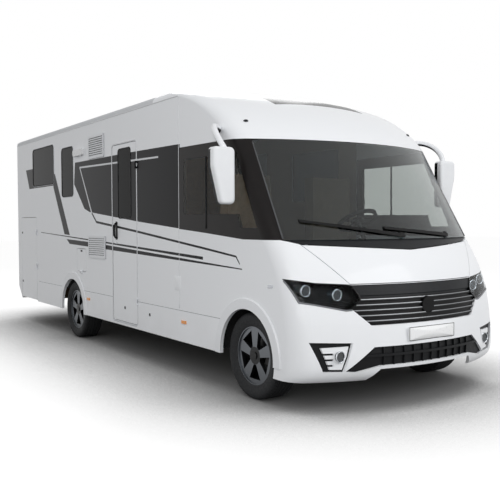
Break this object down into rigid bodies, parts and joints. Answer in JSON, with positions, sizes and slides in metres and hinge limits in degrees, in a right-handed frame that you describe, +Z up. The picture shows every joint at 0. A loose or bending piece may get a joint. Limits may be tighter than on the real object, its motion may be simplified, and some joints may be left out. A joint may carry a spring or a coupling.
{
  "type": "motorhome",
  "caption": "Fully integrated motorhome with a bowed front, large windscreen, opening doors and bonnet, steered front wheels and a furnished living body.",
  "frame": {"origin": "on the road, under the middle of the overall box", "axes": "+X forwards, +Y to the vehicle's left, +Z up"},
  "size_m": [7.6202, 2.89, 2.8249],
  "materials": {
    "alloy_dark": "satin",
    "body_white": "gloss",
    "chrome": "polished",
    "engine_grey": "rough",
    "floor_board": "matte",
    "frame_black": "satin",
    "front_white": "gloss",
    "furniture_wood": "satin",
    "lamp_amber": "gloss",
    "lamp_glass": "gloss",
    "lamp_red": "gloss",
    "lamp_white": "gloss",
    "liner_black": "matte",
    "mirror_glass": "polished",
    "moulding_white": "gloss",
    "pane": "gloss",
    "pillar_black": "satin",
    "rooflight_smoke": "gloss",
    "seat_fabric": "woven",
    "step_grey": "matte",
    "trim_black": "matte",
    "tyre": "matte",
    "windscreen_glass": "gloss"
  },
  "bodies": {
    "body": {"arch_trims": "moulding_white", "cab_seats": "seat_fabric", "cab_windows": "pane", "chassis_frame": "frame_black", "cowl": "trim_black", "dashboard": "trim_black", "engine_block": "engine_grey", "entry_step": "step_grey", "floor": "floor_board", "fog_lamps": "chrome", "front_bumper": "front_white", "front_suspension": "frame_black", "front_wings": "front_white", "furniture": "furniture_wood", "grille_bars": "chrome", "headlamp_covers": "lamp_glass", "headlamp_housings": "trim_black", "headlamp_projectors": "chrome", "living_windows": "pane", "lower_grille": "trim_black", "marker_lamps": "lamp_amber", "mirror_glass": "mirror_glass", "mirrors": "front_white", "number_plate": "body_white", "outside_lamp": "lamp_white", "rear_axle": "frame_black", "rear_bumper": "moulding_white", "roof": "moulding_white", "roof_cap": "front_white", "rooflights": "rooflight_smoke", "side_skirts": "moulding_white", "skylight": "rooflight_smoke", "tail_lamps": "lamp_red", "underfloor_tanks": "liner_black", "upper_grille": "trim_black", "vent_grilles": "moulding_white", "wall_left": "body_white", "wall_rear": "moulding_white", "wall_right": "body_white", "wheel_housings": "liner_black", "window_surround": "pillar_black", "windscreen": "windscreen_glass", "wipers": "trim_black"},
    "hab_door": {"hab_door": "body_white", "hab_door_window": "pane"},
    "garage_door_right": {"garage_door_right": "body_white"},
    "garage_door_left": {"garage_door_left": "body_white"},
    "service_flap": {"service_flap": "body_white"},
    "bonnet": {"bonnet": "front_white"},
    "steering_wheel": {"steering_wheel": "trim_black"},
    "knuckle_left": {"knuckle_left": "frame_black"},
    "knuckle_right": {"knuckle_right": "frame_black"},
    "wheel_fl": {"tyre_fl": "tyre", "rim_fl": "alloy_dark"},
    "wheel_fr": {"tyre_fr": "tyre", "rim_fr": "alloy_dark"},
    "wheel_rl": {"tyre_rl": "tyre", "rim_rl": "alloy_dark"},
    "wheel_rr": {"tyre_rr": "tyre", "rim_rr": "alloy_dark"}
  },
  "joints": [
    {"name": "hab_door_hinge", "type": "hinge", "parent": "body", "child": "hab_door", "pos_m": [0.69, -1.169, 1.3765], "axis": [0, 0, 1], "range_deg": [0, 170]},
    {"name": "garage_door_right_hinge", "type": "hinge", "parent": "body", "child": "garage_door_right", "pos_m": [-2.79, -1.169, 0.97], "axis": [0, 0, 1], "range_deg": [0, 170]},
    {"name": "garage_door_left_hinge", "type": "hinge", "parent": "body", "child": "garage_door_left", "pos_m": [-2.79, 1.169, 0.97], "axis": [0, 0, -1], "range_deg": [0, 170]},
    {"name": "service_flap_hinge", "type": "hinge", "parent": "body", "child": "service_flap", "pos_m": [-0.965, -1.169, 0.88], "axis": [1, 0, 0], "range_deg": [0, 100]},
    {"name": "bonnet_hinge", "type": "hinge", "parent": "body", "child": "bonnet", "pos_m": [3.242, 0, 1.322], "axis": [0, -1, 0], "range_deg": [0, 50]},
    {"name": "steer_left", "type": "hinge", "parent": "body", "child": "knuckle_left", "pos_m": [2.82, 0.877, 0.365], "axis": [0, -0.1961, 0.9806], "range_deg": [-35, 35]},
    {"name": "steer_right", "type": "hinge", "parent": "body", "child": "knuckle_right", "pos_m": [2.82, -0.877, 0.365], "axis": [0, 0.1961, 0.9806], "range_deg": [-35, 35]},
    {"name": "steering_wheel_turn", "type": "hinge", "parent": "body", "child": "steering_wheel", "pos_m": [2.43, 0.43, 1.5], "axis": [-0.5, 0, 0.866], "range_deg": [-540, 540]},
    {"name": "wheel_fl_spin", "type": "hinge", "parent": "knuckle_left", "child": "wheel_fl", "pos_m": [2.82, 0.985, 0.365], "axis": [0, 1, 0], "continuous": true},
    {"name": "wheel_fr_spin", "type": "hinge", "parent": "knuckle_right", "child": "wheel_fr", "pos_m": [2.82, -0.985, 0.365], "axis": [0, 1, 0], "continuous": true},
    {"name": "wheel_rl_spin", "type": "hinge", "parent": "body", "child": "wheel_rl", "pos_m": [-1.29, 1, 0.365], "axis": [0, 1, 0], "continuous": true},
    {"name": "wheel_rr_spin", "type": "hinge", "parent": "body", "child": "wheel_rr", "pos_m": [-1.29, -1, 0.365], "axis": [0, 1, 0], "continuous": true}
  ],
  "couplings": [
    {"joint": "steer_right", "follows": "steer_left", "ratio": 1},
    {"joint": "steering_wheel_turn", "follows": "steer_left", "ratio": 15.4}
  ]
}
